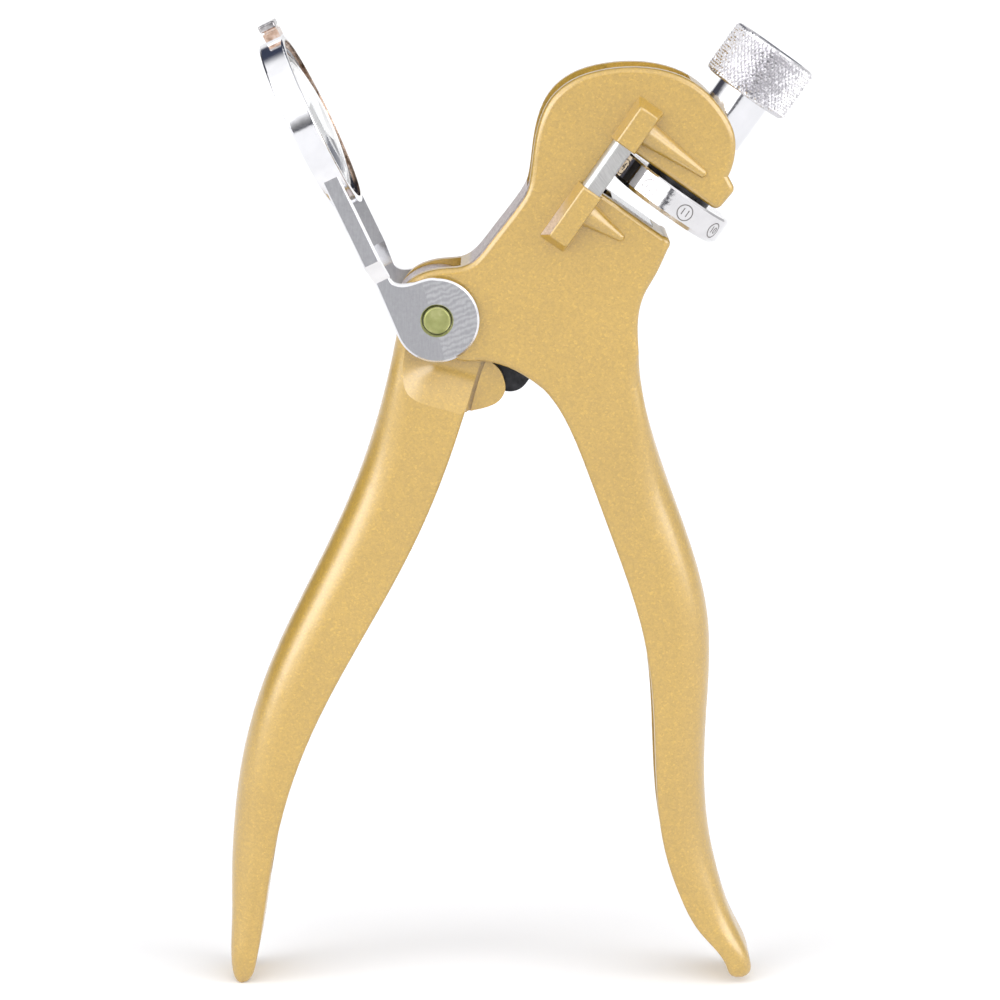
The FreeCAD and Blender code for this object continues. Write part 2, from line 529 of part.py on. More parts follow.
sleeve = one_solid(on_axis(sleeve), "knob_sleeve")
knob = Part.makeCylinder(KNOB_R, KNOB_L, V(ANVIL_W, 0, SLEEVE_U1))
knob = knob.makeChamfer(0.3, [e for e in knob.Edges if e.BoundBox.ZMax - e.BoundBox.ZMin < 0.01])
knob = knob.cut(Part.makeCylinder(STUD_R + RUN_FIT, 8.0, V(ANVIL_W, 0, SLEEVE_U1 - 0.2)))
knob = one_solid(on_axis(knob), "clamp_knob")

# ---------------------------------------------------------------- loupe
ring = Part.makeCylinder(RING_R, RING_T, V(-RING_T / 2, 0, 0), V(1, 0, 0))
ring = try_fillet(ring, 0.4, [e for e in ring.Edges if e.BoundBox.XMax - e.BoundBox.XMin < 0.01])
tab = box(-0.6, 2.2, -3.3, 3.3, RING_R - 1.0, RING_R + 1.5).fuse(
    box(-0.2, 2.0, -2.7, 2.7, RING_R + 1.4, RING_R + 2.0))
cap = box(-0.85, 2.2, -3.0, 3.0, RING_R + 1.85, RING_R + 3.15)
cap = try_fillet(cap, 0.35, cap.Edges)
ring = on_loupe(fuse_all([ring, tab, cap]))
TILT_L = math.radians(LOUPE_TILT)


def rz(x, z):
    """Ring coordinates (across, up the arm) to the drawing frame."""
    return (RING_X + x * math.cos(TILT_L) - z * math.sin(TILT_L), RING_Z + x * math.sin(TILT_L) + z * math.cos(TILT_L))


EAR_A, EAR_B = rz(-1.35, EAR_TOP), rz(1.5, EAR_TOP)
EAR_TAN = (PIVOT_X + EAR_R * math.cos(math.radians(202)), PIVOT_Z + EAR_R * math.sin(math.radians(202)))
parts = [ring]
for s in (-1, 1):
    # arm
    y0, y1 = sorted((s * ARM_Y0, s * ARM_Y1))
    arm = box(-ARM_X, ARM_X, y0, y1, ARM_END, -8.9)
    arm = arm.makeChamfer(0.3, [e for e in arm.Edges if abs(abs(e.BoundBox.YMax) - ARM_Y1) < 1e-6 + (0 if s > 0 else 1e9)
                                and e.BoundBox.YMax - e.BoundBox.YMin < 1e-6 and e.BoundBox.ZMax - e.BoundBox.ZMin > 5
                                and abs(abs(e.BoundBox.YMin) - ARM_Y1) < 1e-6])
    parts.append(on_loupe(arm))
    # joggle in to the ear
    def quad(x0, x1, ya, yb, z):
        return Part.makePolygon([V(x0, ya, z), V(x1, ya, z), V(x1, yb, z), V(x0, yb, z), V(x0, ya, z)])
    jog = Part.makeLoft([quad(-ARM_X, ARM_X, s * ARM_Y0, s * ARM_Y1, ARM_END),
                         quad(-1.35, 1.5, s * EAR_Y0, s * EAR_Y1, EAR_TOP)], True, True)
    if jog.Volume < 0:
        jog.reverse()
    parts.append(on_loupe(jog))
    # ear
    y0, y1 = sorted((s * EAR_Y0, s * EAR_Y1))
    a0, a1 = math.radians(202), math.radians(90 + 360)
    am = (a0 + a1) / 2
    ear = slab([Part.Arc(V(EAR_TAN[0], 0, EAR_TAN[1]),
                         V(PIVOT_X + EAR_R * math.cos(am), 0, PIVOT_Z + EAR_R * math.sin(am)),
                         V(PIVOT_X, 0, PIVOT_Z + EAR_R)).toShape(),
                spline([(PIVOT_X, PIVOT_Z + EAR_R), (-14.6, 131.65), (-17.2, 131.05), (-18.6, 131.35), EAR_B]),
                seg(EAR_B, EAR_A), seg(EAR_A, EAR_TAN)], y0, y1)
    edges = []
    for e in ear.Edges:
        bb = e.BoundBox
        if bb.YMax - bb.YMin > 1e-6 or abs(abs(bb.YMax) - EAR_Y1) > 1e-6:
            continue
        m = e.valueAt((e.FirstParameter + e.LastParameter) / 2)
        if math.hypot(m.x - (EAR_A[0] + EAR_B[0]) / 2, m.z - (EAR_A[1] + EAR_B[1]) / 2) > 0.3:
            edges.append(e)
    try:
        ear = ear.makeChamfer(0.35, edges)
    except Exception:
        print("ear chamfer left out")
    parts.append(ear)
frame = fuse_all(parts)
frame = frame.cut(disc_y(PIVOT_X, PIVOT_Z, PIN_R + 0.08, -16, 16))
for s in (-1, 1):
    frame = frame.cut(Part.makeCone(PIN_R + 0.45, PIN_R + 0.08, 0.7, V(PIVOT_X, s * EAR_Y1, PIVOT_Z), V(0, -s, 0)))
# The arms stay clear of the lens seat.
LIP_X = -0.95
frame = frame.cut(on_loupe(Part.makeCylinder(RING_BORE, 8, V(LIP_X, 0, 0), V(1, 0, 0))))
frame = frame.cut(on_loupe(Part.makeCylinder(RING_BORE - 0.9, 12, V(-6, 0, 0), V(1, 0, 0))))
frame = one_solid(frame.removeSplitter(), "loupe_frame")

lens_r = RING_BORE - 0.03
LENS_X0, LENS_X1 = LIP_X + 0.03, 1.0     # edge of the lens between lip and keeper


def dome(x, sag, way, r):
    """Ball that rounds one face of the lens: radius r at x, its crown sag beyond it."""
    rad = (r * r + sag * sag) / (2 * sag)
    return Part.makeSphere(rad, V(x + way * (sag - rad), 0, 0))


SAG_L, SAG_R = 1.25, 2.2
lens = Part.makeCylinder(lens_r, LENS_X1 - LENS_X0 + SAG_L + SAG_R, V(LENS_X0 - SAG_L, 0, 0), V(1, 0, 0))
lens = lens.common(dome(LENS_X0, SAG_L, -1, RING_BORE - 1.0)).common(dome(LENS_X1, SAG_R, 1, lens_r))
lens = one_solid(on_loupe(lens), "loupe_lens")
keeper = Part.makeCylinder(lens_r, 0.65, V(LENS_X1 + 0.02, 0, 0), V(1, 0, 0)).cut(
    Part.makeCylinder(lens_r - 1.0, 4, V(LENS_X1 - 1, 0, 0), V(1, 0, 0)))
keeper = keeper.cut(box(-5, 5, -1.2, 1.2, 5, 20))
keeper = one_solid(on_loupe(keeper), "lens_keeper_ring")
# The lens bulges a little past the ring of the keeper, never into it.
keeper = one_solid(keeper.cut(lens), "lens_keeper_ring")

# ---------------------------------------------------------------- write the nodes
nodes = {
    "body_casting": casting,
    "lever_handle": lever,
    "pivot_pin": pin,
    "hub_washers": hub_washers,
    "ear_washers": ear_washers,
    "setting_punch": punch,
    "clamp_plunger": clamp,
    "return_spring": return_spring,
    "punch_spring": punch_spring,
    "spring_seat": seat,
    "stop_bar_front": bars["stop_bar_front"],
    "stop_bar_back": bars["stop_bar_back"],
    "anvil_disc": disc,
    "anvil_stud": stud,
    "anvil_washer": shim,
    "knob_sleeve": sleeve,
    "clamp_knob": knob,
    "loupe_frame": frame,
    "loupe_lens": lens,
    "lens_keeper_ring": keeper,
}
box_all = None
for name, shape in nodes.items():
    s = shape.copy()
    s.translate(SHIFT)
    if not s.isValid():
        print("INVALID", name)
    s.exportStep("parts/" + name + ".step")
    b = s.BoundBox
    print("%-18s vol %9.1f  x %.2f..%.2f y %.2f..%.2f z %.2f..%.2f" % (
        name, s.Volume, b.XMin, b.XMax, b.YMin, b.YMax, b.ZMin, b.ZMax))
    if box_all is None:
        box_all = FreeCAD.BoundBox(b)
    else:
        box_all.add(b)
print("ALL", box_all)
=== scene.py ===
import math
import random

import bmesh
import bpy
from mathutils import Matrix, Vector


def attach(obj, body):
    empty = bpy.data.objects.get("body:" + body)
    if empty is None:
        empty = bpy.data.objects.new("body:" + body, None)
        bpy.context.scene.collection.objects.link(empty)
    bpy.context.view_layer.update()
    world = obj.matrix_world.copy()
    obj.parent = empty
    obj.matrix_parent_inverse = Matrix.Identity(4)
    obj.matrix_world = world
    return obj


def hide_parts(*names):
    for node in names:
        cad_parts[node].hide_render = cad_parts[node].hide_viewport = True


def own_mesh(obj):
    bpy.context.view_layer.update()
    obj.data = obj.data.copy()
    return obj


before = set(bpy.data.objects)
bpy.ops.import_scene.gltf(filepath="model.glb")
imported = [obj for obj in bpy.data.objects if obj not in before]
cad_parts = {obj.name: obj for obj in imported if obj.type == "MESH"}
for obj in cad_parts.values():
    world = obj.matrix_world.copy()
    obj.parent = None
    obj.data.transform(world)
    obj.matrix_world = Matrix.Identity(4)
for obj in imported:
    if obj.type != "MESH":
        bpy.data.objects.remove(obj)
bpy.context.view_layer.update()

# ------------------------------------------------------------------ layout
# Plunger-axis frame: w across, y through the thickness, u along the axis.
PX, PZ = -0.01114 - 0.002615, 0.12470 + 0.00122
TILT = math.radians(35.0)


def wu(w, u, y=0.0):
    """A point given in millimetres about the plunger axis, in metres in the row frame."""
    return Vector((PX + (w * math.cos(TILT) + u * math.sin(TILT)) / 1000.0, y / 1000.0,
                   PZ + (-w * math.sin(TILT) + u * math.cos(TILT)) / 1000.0))


# Ring of the loupe: centre and its two directions in the row frame.
RING_X, RING_Z = -0.03346 - 0.002615, 0.15842 + 0.00122
RING_TILT = math.radians(25.4)
RING_AX = Vector((math.cos(RING_TILT), 0.0, math.sin(RING_TILT)))
RING_UP = Vector((-math.sin(RING_TILT), 0.0, math.cos(RING_TILT)))
AXIS_U = Vector((math.sin(TILT), 0.0, math.cos(TILT)))
AXIS_W = Vector((math.cos(TILT), 0.0, -math.sin(TILT)))


def axis_matrix(w, u, y=0.0):
    """Local X = w, Y = thickness, Z = along the axis."""
    m = Matrix.Identity(4)
    o = wu(w, u, y)
    for r in range(3):
        m[r][0] = AXIS_W[r]
        m[r][1] = (0.0, 1.0, 0.0)[r]
        m[r][2] = AXIS_U[r]
        m[r][3] = o[r]
    return m


# ------------------------------------------------------------------ node helpers
def new_mat(name):
    m = bpy.data.materials.new(name)
    m.use_nodes = True
    nt = m.node_tree
    nt.nodes.clear()
    out = nt.nodes.new("ShaderNodeOutputMaterial")
    b = nt.nodes.new("ShaderNodeBsdfPrincipled")
    nt.links.new(b.outputs["BSDF"], out.inputs["Surface"])
    return m, nt, b


def node(nt, kind, **kw):
    n = nt.nodes.new(kind)
    for k, v in kw.items():
        if k.startswith("in_"):
            key = k[3:]
            key = int(key) if key.isdigit() else key.replace("_", " ")
            n.inputs[key].default_value = v
        else:
            setattr(n, k, v)
    return n


def coords(nt):
    return nt.nodes.new("ShaderNodeTexCoord").outputs["Object"]


def ramp(nt, src, stops, interp="LINEAR"):
    r = nt.nodes.new("ShaderNodeValToRGB")
    r.color_ramp.interpolation = interp
    els = r.color_ramp.elements
    while len(els) > 1:
        els.remove(els[-1])
    els[0].position, els[0].color = stops[0][0], stops[0][1]
    for p, c in stops[1:]:
        e = els.new(p)
        e.color = c
    nt.links.new(src, r.inputs["Fac"])
    return r.outputs["Color"]


def mathn(nt, op, a, b=None, c=None, clamp=False):
    n = nt.nodes.new("ShaderNodeMath")
    n.operation = op
    n.use_clamp = clamp
    for i, v in enumerate((a, b, c)):
        if v is None:
            continue
        if isinstance(v, (int, float)):
            n.inputs[i].default_value = v
        else:
            nt.links.new(v, n.inputs[i])
    return n.outputs[0]


def mixc(nt, fac, a, b, mode="MIX"):
    n = nt.nodes.new("ShaderNodeMix")
    n.data_type = "RGBA"
    n.blend_type = mode
    for sock, v in (("Factor", fac), ("A", a), ("B", b)):
        s = [i for i in n.inputs if i.name == sock and (i.type == "RGBA" or sock == "Factor" and i.type == "VALUE")][0]
        if isinstance(v, (int, float)):
            s.default_value = v
        elif isinstance(v, (tuple, list)):
            s.default_value = v
        else:
            nt.links.new(v, s)
    return [o for o in n.outputs if o.type == "RGBA"][0]


def noise(nt, vec, scale, detail=2.0, rough=0.5, dist=0.0):
    n = node(nt, "ShaderNodeTexNoise", in_Scale=scale, in_Detail=detail, in_Roughness=rough, in_Distortion=dist)
    nt.links.new(vec, n.inputs["Vector"])
    return n.outputs["Fac"]


def voronoi(nt, vec, scale, out="Distance", feature="F1"):
    n = node(nt, "ShaderNodeTexVoronoi", in_Scale=scale, feature=feature)
    nt.links.new(vec, n.inputs["Vector"])
    return n.outputs[out]


def mapping(nt, vec, scale=(1, 1, 1), rot=(0, 0, 0), loc=(0, 0, 0)):
    n = node(nt, "ShaderNodeMapping")
    n.inputs["Scale"].default_value = scale
    n.inputs["Rotation"].default_value = rot
    n.inputs["Location"].default_value = loc
    nt.links.new(vec, n.inputs["Vector"])
    return n.outputs["Vector"]


def bump(nt, height, strength=0.3, dist=0.0001, normal=None):
    n = node(nt, "ShaderNodeBump", in_Strength=strength, in_Distance=dist)
    nt.links.new(height, n.inputs["Height"])
    if normal is not None:
        nt.links.new(normal, n.inputs["Normal"])
    return n.outputs["Normal"]


def obj_from_bm(bm, name, mat, smooth=True, angle=40.0):
    bmesh.ops.recalc_face_normals(bm, faces=bm.faces)
    me = bpy.data.meshes.new(name)
    bm.to_mesh(me)
    bm.free()
    o = bpy.data.objects.new(name, me)
    bpy.context.scene.collection.objects.link(o)
    if mat is not None:
        me.materials.append(mat)
    if smooth:
        me.polygons.foreach_set("use_smooth", [True] * len(me.polygons))
        me.set_sharp_from_angle(angle=math.radians(angle))
    return o


def sep(nt, vec):
    n = nt.nodes.new("ShaderNodeSeparateXYZ")
    nt.links.new(vec, n.inputs[0])
    return n.outputs[0], n.outputs[1], n.outputs[2]


def step(nt, v, a, b):
    """0 below a, 1 above b, smooth between; a > b gives the falling step."""
    n = nt.nodes.new("ShaderNodeMapRange")
    n.interpolation_type = "SMOOTHSTEP"
    flip = a > b
    lo, hi = (b, a) if flip else (a, b)
    n.inputs["From Min"].default_value = lo
    n.inputs["From Max"].default_value = hi
    n.inputs["To Min"].default_value = 1.0 if flip else 0.0
    n.inputs["To Max"].default_value = 0.0 if flip else 1.0
    nt.links.new(v, n.inputs["Value"])
    return n.outputs["Result"]


def mul(nt, *vs):
    out = vs[0]
    for v in vs[1:]:
        out = mathn(nt, "MULTIPLY", out, v)
    return out


def along(nt, vec, d, off=0.0):
    """Dot product of a position with a direction, minus an offset."""
    n = nt.nodes.new("ShaderNodeVectorMath")
    n.operation = "DOT_PRODUCT"
    n.inputs[1].default_value = tuple(d)
    nt.links.new(vec, n.inputs[0])
    return mathn(nt, "SUBTRACT", n.outputs["Value"], off) if off else n.outputs["Value"]


def cells(nt, vec, scale):
    """A random grey value for each cell of a fine grain."""
    n = node(nt, "ShaderNodeTexVoronoi", in_Scale=scale)
    nt.links.new(vec, n.inputs["Vector"])
    s = nt.nodes.new("ShaderNodeSeparateColor")
    nt.links.new(n.outputs["Color"], s.inputs[0])
    return s.outputs[0]


def geo_normal(nt):
    return nt.nodes.new("ShaderNodeNewGeometry").outputs["Normal"]


def local_normal(nt):
    return nt.nodes.new("ShaderNodeTexCoord").outputs["Normal"]


# ------------------------------------------------------------------ camera, floor, light
scene = bpy.context.scene
cam = bpy.data.objects.new("camera", bpy.data.cameras.new("camera"))
scene.collection.objects.link(cam)
cam.location = (-0.002615, -0.567, 0.21892)
cam.rotation_euler = (math.radians(90.0 - 12.69), 0.0, 0.0)
cam.data.lens = 114.95
cam.data.sensor_width = 36.0
cam.data.clip_start, cam.data.clip_end = 0.05, 60.0
scene.camera = cam
scene.view_settings.view_transform = "Standard"
scene.view_settings.look = "None"

m_floor, nt, b = new_mat("floor_pale")
b.inputs["Roughness"].default_value = 1.0
b.inputs["Specular IOR Level"].default_value = 0.0
f = noise(nt, coords(nt), 1.6, 2.0)
nt.links.new(ramp(nt, f, [(0.3, (0.90, 0.90, 0.90, 1)), (0.7, (0.93, 0.93, 0.93, 1))]), b.inputs["Base Color"])
bm = bmesh.new()
bmesh.ops.create_grid(bm, x_segments=4, y_segments=4, size=40.0)
floor = obj_from_bm(bm, "floor", m_floor, smooth=False)
if floor.data.polygons[0].normal.z < 0:
    floor.data.flip_normals()

world = bpy.data.worlds.new("studio")
scene.world = world
world.use_nodes = True
nt = world.node_tree
bg = [n for n in nt.nodes if n.type == "BACKGROUND"][0]
dx, dy, dz = sep(nt, nt.nodes.new("ShaderNodeTexCoord").outputs["Generated"])
front = step(nt, dy, -0.25, -0.65)
back = step(nt, dy, 0.15, 0.5)
col = ramp(nt, mathn(nt, "MULTIPLY_ADD", dz, 0.5, 0.5), [
    (0.0, (0.95, 0.95, 0.95, 1)), (0.49, (0.9, 0.9, 0.9, 1)), (0.56, (0.92, 0.92, 0.93, 1)),
    (0.70, (1.05, 1.05, 1.06, 1)), (1.0, (1.25, 1.25, 1.26, 1))])
col = mixc(nt, mul(nt, back, step(nt, dz, 0.34, 0.48), step(nt, dz, 0.97, 0.80)), col, (0.05, 0.06, 0.10, 1))
# centre of the front: the dim room behind the camera
col = mixc(nt, mul(nt, step(nt, dy, -0.35, -0.7), step(nt, dz, -0.05, 0.02), step(nt, dz, 0.50, 0.42)), col,
           (0.16, 0.16, 0.165, 1))
# tall softboxes left and right of the camera
col = mixc(nt, mul(nt, step(nt, dx, -0.14, -0.40), step(nt, dy, -0.10, -0.34), step(nt, dz, -0.02, 0.10),
                   step(nt, dz, 0.88, 0.74)), col, (4.4, 4.4, 4.45, 1))
col = mixc(nt, mul(nt, step(nt, dx, 0.16, 0.42), step(nt, dy, -0.04, -0.26), step(nt, dz, -0.02, 0.10),
                   step(nt, dz, 0.88, 0.74)), col, (3.8, 3.8, 3.85, 1))
# dark flag at the back left
col = mixc(nt, mul(nt, step(nt, dx, -0.30, -0.48), step(nt, dy, -0.06, 0.12), step(nt, dz, 0.60, 0.50)), col,
           (0.07, 0.07, 0.09, 1))
# grey panel at the back right, low down
col = mixc(nt, mul(nt, step(nt, dx, 0.25, 0.55), step(nt, dy, 0.10, 0.35), step(nt, dz, 0.45, 0.35)), col,
           (0.62, 0.62, 0.63, 1))
col = mixc(nt, mul(nt, front, step(nt, dz, 0.36, 0.46), step(nt, dz, 0.90, 0.80)), col, (1.50, 1.50, 1.52, 1))
col = mixc(nt, mul(nt, step(nt, dy, -0.5, -0.7), step(nt, dz, 0.06, 0.03), step(nt, dz, -0.04, -0.01)), col,
           (0.05, 0.05, 0.07, 1))
nt.links.new(col, bg.inputs["Color"])
bg.inputs["Strength"].default_value = 1.0


# ------------------------------------------------------------------ materials
def gold_material(name, lever=False):
    """Satin gold flake paint over a casting, worn through to ground metal where it is machined, with painted shade
    inside the head.
    """
    m, nt, b = new_mat(name)
    pos = coords(nt)
    broad = noise(nt, pos, 45.0, 2.0, 0.5)
    col = ramp(nt, broad, [(0.30, (0.402, 0.244, 0.024, 1)), (0.55, (0.420, 0.256, 0.026, 1)),
                           (0.80, (0.438, 0.269, 0.029, 1))])
    flake = cells(nt, pos, 3000.0)
    tone = ramp(nt, flake, [(0.0, (0.33, 0.33, 0.33, 1)), (0.5, (0.50, 0.50, 0.50, 1)), (0.9, (0.62, 0.62, 0.62, 1)),
                            (1.0, (0.84, 0.84, 0.84, 1))])
    col = mixc(nt, 0.30, col, tone, "OVERLAY")
    grain = cells(nt, mapping(nt, pos, loc=(0.3, 0.1, 0.2)), 6400.0)
    tone2 = ramp(nt, grain, [(0.0, (0.38, 0.38, 0.38, 1)), (1.0, (0.62, 0.62, 0.62, 1))])
    col = mixc(nt, 0.25, col, tone2, "OVERLAY")
    # ground metal
    nx, ny, nz = sep(nt, geo_normal(nt))
    x, y, z = sep(nt, pos)
    if not lever:
        n_out = (-0.788, 0.0, 0.616)
        dot = along(nt, geo_normal(nt), n_out)
        mask = mul(nt, step(nt, dot, 0.72, 0.86), step(nt, z, 0.1353, 0.1362), step(nt, z, 0.1512, 0.1496),
                   step(nt, x, 0.010, 0.006))
        rough_m = 0.38
    else:
        px = mathn(nt, "SUBTRACT", x, PX)
        pz = mathn(nt, "SUBTRACT", z, PZ)
        r = mathn(nt, "SQRT", mathn(nt, "ADD", mul(nt, px, px), mul(nt, pz, pz)))
        mask = mul(nt, step(nt, r, 0.0084, 0.0081), step(nt, mathn(nt, "ABSOLUTE", y), 0.0050, 0.0047),
                   step(nt, pz, -0.004, -0.002))
        rough_m = 0.34
    ground = ramp(nt, noise(nt, mapping(nt, pos, scale=(1, 0.25, 1)), 2200.0, 3.0, 0.7),
                  [(0.3, (0.52, 0.44, 0.42, 1)), (0.7, (0.78, 0.70, 0.68, 1))])
    col = mixc(nt, mask, col, ground)
    if not lever:
        # the inside of the head, behind the stop bar, is painted near-black: painted shade on the faces between the
        # cheeks and on the throat end wall, with the coat taken off there
        w = along(nt, pos, AXIS_W, PX * AXIS_W.x + PZ * AXIS_W.z)
        u = along(nt, pos, AXIS_U, PX * AXIS_U.x + PZ * AXIS_U.z)
        painted_shade_inside = mul(nt, step(nt, mathn(nt, "ABSOLUTE", y), 0.00505, 0.00497), step(nt, w, 0.0058, 0.0062),
                    step(nt, w, 0.0128, 0.0126), step(nt, u, 0.0265, 0.0270), step(nt, u, 0.0540, 0.0536))
        end = mul(nt, step(nt, w, 0.0096, 0.0098), step(nt, w, 0.01000, 0.00996), step(nt, u, 0.0350, 0.0352),
                  step(nt, u, 0.0440, 0.0438))
        painted_shade_inside = mathn(nt, "MAXIMUM", painted_shade_inside, end)
        # near-black painted shade laid over the gold inside the head
        col = mixc(nt, painted_shade_inside, col, (0.035, 0.030, 0.026, 1))
        outside_painted_shade = mathn(nt, "SUBTRACT", 1.0, painted_shade_inside)
    nt.links.new(col, b.inputs["Base Color"])
    metal = mathn(nt, "MULTIPLY_ADD", mask, 0.68, 0.22)
    nt.links.new(metal, b.inputs["Metallic"])
    rough = mathn(nt, "MULTIPLY_ADD", flake, 0.12, 0.37)
    rough = mathn(nt, "ADD", rough, mathn(nt, "MULTIPLY", broad, 0.05))
    nt.links.new(rough, b.inputs["Roughness"])
    coat = mathn(nt, "MULTIPLY_ADD", mask, -0.8, 0.9)
    if not lever:
        # no coat where the painted shade is
        coat = mul(nt, coat, outside_painted_shade)
    nt.links.new(coat, b.inputs["Coat Weight"])
    b.inputs["Coat IOR"].default_value = 2.0
    b.inputs["Coat Roughness"].default_value = 0.25
    h = mathn(nt, "ADD", mathn(nt, "MULTIPLY", noise(nt, pos, 900.0, 2.0), 0.7), mathn(nt, "MULTIPLY", flake, 0.35))
    nt.links.new(bump(nt, h, 0.28, 0.00006), b.inputs["Normal"])
    return m


def chrome_material(name, tint=(0.80, 0.80, 0.82), rough=0.09, wave=0.12, scale=260.0):
    """Bright plate with the slight waviness and fine specks of barrel-polished plating."""
    m, nt, b = new_mat(name)
    pos = coords(nt)
    n1 = noise(nt, pos, scale, 2.0, 0.55)
    lo = tuple(c * 0.93 for c in tint) + (1,)
    nt.links.new(ramp(nt, n1, [(0.3, lo), (0.7, tuple(tint) + (1,))]), b.inputs["Base Color"])
    b.inputs["Metallic"].default_value = 1.0
    speck = noise(nt, pos, 4200.0, 2.0, 0.6)
    nt.links.new(mathn(nt, "MULTIPLY_ADD", speck, 0.10, rough - 0.03), b.inputs["Roughness"])
    h = mathn(nt, "ADD", n1, mathn(nt, "MULTIPLY", speck, 0.05))
    nt.links.new(bump(nt, h, wave, 0.0004), b.inputs["Normal"])
    return m


def steel_material(name, col=(0.55, 0.55, 0.56), rough=0.34, grain=(1.0, 1.0, 0.06), strength=0.25):
    """Ground or drawn steel: fine parallel scratches along the stretched direction."""
    m, nt, b = new_mat(name)
    pos = mapping(nt, coords(nt), rot=(0, TILT, 0))
    g = noise(nt, mapping(nt, pos, scale=grain), 5200.0, 3.0, 0.7)
    c0 = tuple(c * 0.80 for c in col) + (1,)
    c1 = tuple(min(1.0, c * 1.14) for c in col) + (1,)
    nt.links.new(ramp(nt, g, [(0.25, c0), (0.75, c1)]), b.inputs["Base Color"])
    b.inputs["Metallic"].default_value = 1.0
    nt.links.new(mathn(nt, "MULTIPLY_ADD", g, 0.16, rough - 0.08), b.inputs["Roughness"])
    nt.links.new(bump(nt, g, strength, 0.00003), b.inputs["Normal"])
    return m


def frame_material():
    """Loupe frame: bright plated ring, milled grey arms and ears."""
    m, nt, b = new_mat("loupe_frame_plate")
    pos = coords(nt)
    x, y, z = sep(nt, pos)
    nx, ny, nz = sep(nt, local_normal(nt))
    flat = step(nt, mathn(nt, "ABSOLUTE", ny), 0.97, 0.995)
    low = step(nt, z, 0.1545, 0.1535)
    milled = mul(nt, flat, low)
    # faint arcs of the face mill across the far half of each ear, a plain ground look elsewhere
    half = step(nt, along(nt, pos, (0.96, 0.0, 0.28), PX * 0.96 + PZ * 0.28 - 0.0006), -0.0001, 0.0001)
    sweep = nt.nodes.new("ShaderNodeTexWave")
    sweep.wave_type = "RINGS"
    sweep.rings_direction = "SPHERICAL"
    sweep.inputs["Scale"].default_value = 330.0
    sweep.inputs["Distortion"].default_value = 5.0
    sweep.inputs["Detail"].default_value = 3.0
    sweep.inputs["Detail Scale"].default_value = 2.5
    nt.links.new(mapping(nt, pos, loc=(0.030, 0.0, -0.180)), sweep.inputs["Vector"])
    arcs = mul(nt, sweep.outputs["Fac"], half)
    fine = noise(nt, mapping(nt, pos, rot=(0, math.radians(52), 0), scale=(1, 1, 0.08)), 4200.0, 3.0, 0.7)
    blot = noise(nt, pos, 1500.0, 3.0, 0.7)
    tone = mathn(nt, "ADD", mathn(nt, "MULTIPLY", fine, 0.34), mathn(nt, "MULTIPLY", arcs, 0.20))
    tone = mathn(nt, "ADD", tone, mathn(nt, "MULTIPLY", blot, 0.30))
    grey = ramp(nt, tone, [(0.12, (0.28, 0.28, 0.295, 1)), (0.36, (0.37, 0.37, 0.385, 1)), (0.75, (0.56, 0.56, 0.57, 1))])
    wavy = noise(nt, pos, 240.0, 2.0, 0.55)
    bright = ramp(nt, wavy, [(0.3, (0.76, 0.76, 0.78, 1)), (0.7, (0.85, 0.85, 0.87, 1))])
    # warm cast inside the bore and on the thumb tab, where the plating is thin
    ring_c = Vector((RING_X, 0.0, RING_Z))
    ax = along(nt, pos, RING_AX, ring_c.dot(RING_AX))
    up = along(nt, pos, RING_UP, ring_c.dot(RING_UP))
    rr2 = mathn(nt, "SQRT", mathn(nt, "ADD", mul(nt, up, up), mul(nt, y, y)))
    bore = mul(nt, step(nt, rr2, 0.01535, 0.01525), step(nt, ax, 0.0004, 0.0009))
    tab = step(nt, up, 0.01622, 0.0164)
    warm_n = noise(nt, pos, 900.0, 3.0, 0.6)
    warm = ramp(nt, warm_n, [(0.30, (0.20, 0.13, 0.09, 1)), (0.60, (0.42, 0.31, 0.24, 1)), (0.85, (0.70, 0.62, 0.56, 1))])
    copper = ramp(nt, warm_n, [(0.30, (0.34, 0.22, 0.16, 1)), (0.50, (0.62, 0.44, 0.34, 1)), (0.75, (0.80, 0.74, 0.71, 1))])
    tip = step(nt, up, 0.01800, 0.01815)
    capc = ramp(nt, warm_n, [(0.32, (0.12, 0.12, 0.13, 1)), (0.55, (0.42, 0.40, 0.40, 1)), (0.80, (0.80, 0.79, 0.80, 1))])
    bright = mixc(nt, bore, bright, warm)
    bright = mixc(nt, tab, bright, copper)
    bright = mixc(nt, tip, bright, capc)
    nt.links.new(mixc(nt, milled, bright, grey), b.inputs["Base Color"])
    b.inputs["Metallic"].default_value = 1.0
    speck = noise(nt, pos, 4200.0, 2.0, 0.6)
    r_bright = mathn(nt, "MULTIPLY_ADD", speck, 0.08, 0.07)
    r_milled = mathn(nt, "MULTIPLY_ADD", fine, 0.14, 0.34)
    rr = mathn(nt, "ADD", mathn(nt, "MULTIPLY", milled, r_milled),
               mathn(nt, "MULTIPLY", mathn(nt, "SUBTRACT", 1.0, milled), r_bright))
    nt.links.new(rr, b.inputs["Roughness"])
    h = mathn(nt, "ADD", mathn(nt, "MULTIPLY", wavy, 0.35),
              mul(nt, milled, mathn(nt, "ADD", mathn(nt, "MULTIPLY", arcs, 0.06), mathn(nt, "MULTIPLY", fine, 0.06))))
    nt.links.new(bump(nt, h, 0.12, 0.0004), b.inputs["Normal"])
    return m


m_gold = gold_material("gold_paint_body")
m_gold_lever = gold_material("gold_paint_lever", lever=True)
m_chrome = chrome_material("chrome_plate")
m_chrome_disc = chrome_material("chrome_anvil", tint=(0.74, 0.73, 0.74), rough=0.09, wave=0.16, scale=420.0)
m_knurl = chrome_material("chrome_knurl", tint=(0.66, 0.65, 0.67), rough=0.20, wave=0.22, scale=1500.0)
m_frame = frame_material()
m_bar = steel_material("bar_steel", col=(0.50, 0.495, 0.485), rough=0.36)
m_plunger = steel_material("plunger_steel", col=(0.70, 0.70, 0.71), rough=0.20, strength=0.12)
m_spring = steel_material("spring_wire", col=(0.50, 0.50, 0.52), rough=0.28, grain=(1, 1, 1))

